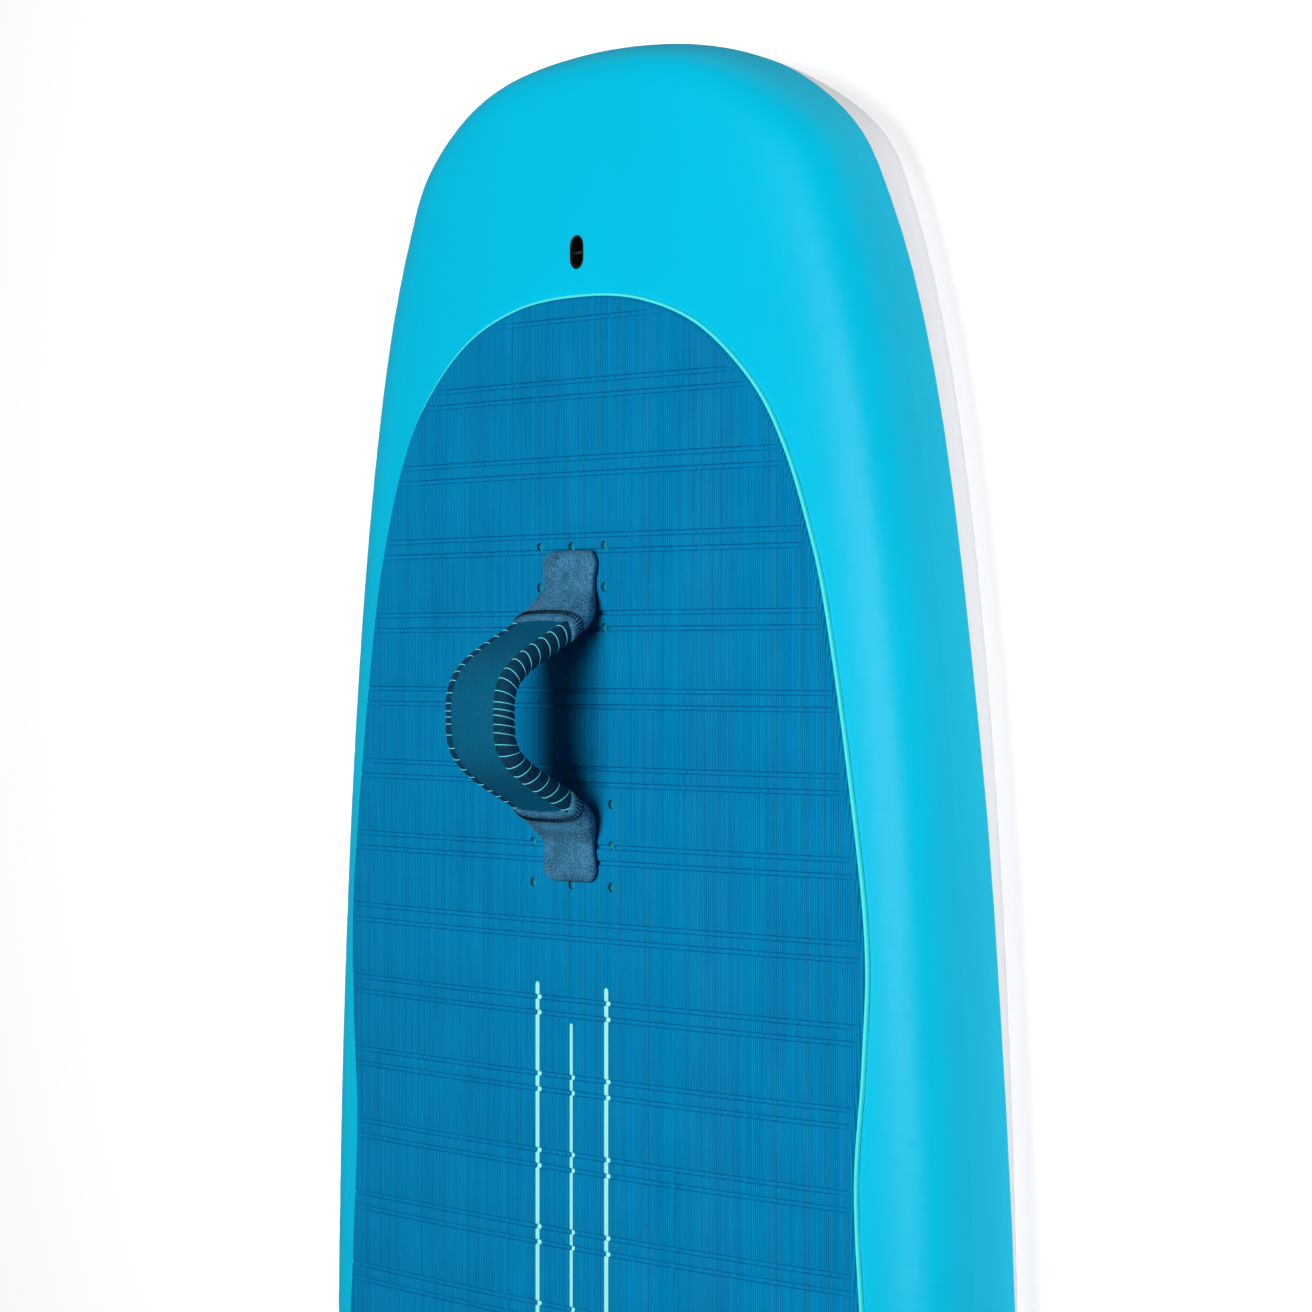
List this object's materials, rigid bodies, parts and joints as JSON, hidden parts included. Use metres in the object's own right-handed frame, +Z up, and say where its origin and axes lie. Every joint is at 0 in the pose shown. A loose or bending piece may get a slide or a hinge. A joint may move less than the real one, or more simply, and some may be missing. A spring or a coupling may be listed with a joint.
{
  "type": "stand up paddleboard",
  "caption": "Short hard paddleboard for foiling: rounded nose, ribbed deck pad, central padded foot strap, nose slot with a pin, flat bottom with foil tracks.",
  "frame": {"origin": "centre of the footprint, on the surface that the bottom lies on", "axes": "+X towards the nose, +Y to port, +Z up out of the deck"},
  "size_m": [1.9038, 0.796, 0.2445],
  "materials": {
    "foam": "matte",
    "deck_laminate": "satin",
    "hull_laminate": "satin",
    "sandwich": "matte",
    "dense_foam": "matte",
    "black_plastic": "matte",
    "nut_brass": "satin",
    "pad_light": "matte",
    "pad_dark": "matte",
    "pad_mint": "matte",
    "stainless": "polished",
    "membrane": "matte",
    "seal_rubber": "matte",
    "webbing": "woven",
    "neoprene": "matte",
    "strap_face": "satin",
    "strap_roll": "matte"
  },
  "bodies": {
    "board": {"foam_core": "foam", "deck_skin": "deck_laminate", "hull_skin": "hull_laminate", "standing_sandwich": "sandwich", "foil_block": "dense_foam", "foil_track_port": "black_plastic", "foil_track_starboard": "black_plastic", "strap_block_front": "dense_foam", "strap_block_rear": "dense_foam", "insert_front_port": "black_plastic", "insert_front_centre": "black_plastic", "insert_front_starboard": "black_plastic", "insert_rear_port": "black_plastic", "insert_rear_centre": "black_plastic", "insert_rear_starboard": "black_plastic", "pad_base": "pad_light", "pad_top": "pad_dark", "guide_line_port": "pad_mint", "guide_line_centre": "pad_mint", "guide_line_starboard": "pad_mint", "nose_plug_cup": "black_plastic", "nose_plug_pin": "stainless", "leash_plug_cup": "black_plastic", "leash_plug_pin": "stainless", "vent_body": "black_plastic", "vent_membrane": "membrane", "vent_oring": "seal_rubber", "strap_tab_front": "webbing", "strap_tab_rear": "webbing", "strap_washer_front": "stainless", "strap_washer_rear": "stainless", "strap_screw_front": "stainless", "strap_screw_rear": "stainless", "strap_cover_front": "neoprene", "strap_cover_rear": "neoprene"},
    "strap_arch": {"strap_core": "webbing", "strap_panel": "strap_face", "strap_roll_port": "strap_roll", "strap_roll_starboard": "strap_roll"},
    "nut_port_front": {"foil_nut_port_front": "nut_brass"},
    "nut_port_rear": {"foil_nut_port_rear": "nut_brass"},
    "nut_starboard_front": {"foil_nut_starboard_front": "nut_brass"},
    "nut_starboard_rear": {"foil_nut_starboard_rear": "nut_brass"},
    "vent_screw": {"vent_cap": "black_plastic"}
  },
  "joints": [
    {"name": "strap_lean", "type": "hinge", "parent": "board", "child": "strap_arch", "pos_m": [0.4235, 0, 0.182], "axis": [1, 0, 0], "range_deg": [-18, 18], "stiffness_Nm_per_rad": 4},
    {"name": "nut_port_front_slide", "type": "slide", "parent": "board", "child": "nut_port_front", "axis": [1, 0, 0], "range_m": [-0.03, 0.03]},
    {"name": "nut_port_rear_slide", "type": "slide", "parent": "board", "child": "nut_port_rear", "axis": [1, 0, 0], "range_m": [-0.03, 0.03]},
    {"name": "nut_starboard_front_slide", "type": "slide", "parent": "board", "child": "nut_starboard_front", "axis": [1, 0, 0], "range_m": [-0.03, 0.03]},
    {"name": "nut_starboard_rear_slide", "type": "slide", "parent": "board", "child": "nut_starboard_rear", "axis": [1, 0, 0], "range_m": [-0.03, 0.03]},
    {"name": "vent_screw_turn", "type": "hinge", "parent": "board", "child": "vent_screw", "pos_m": [-0.8305, 0, 0.14], "axis": [0, 0, 1], "range_deg": [0, 1080]}
  ]
}
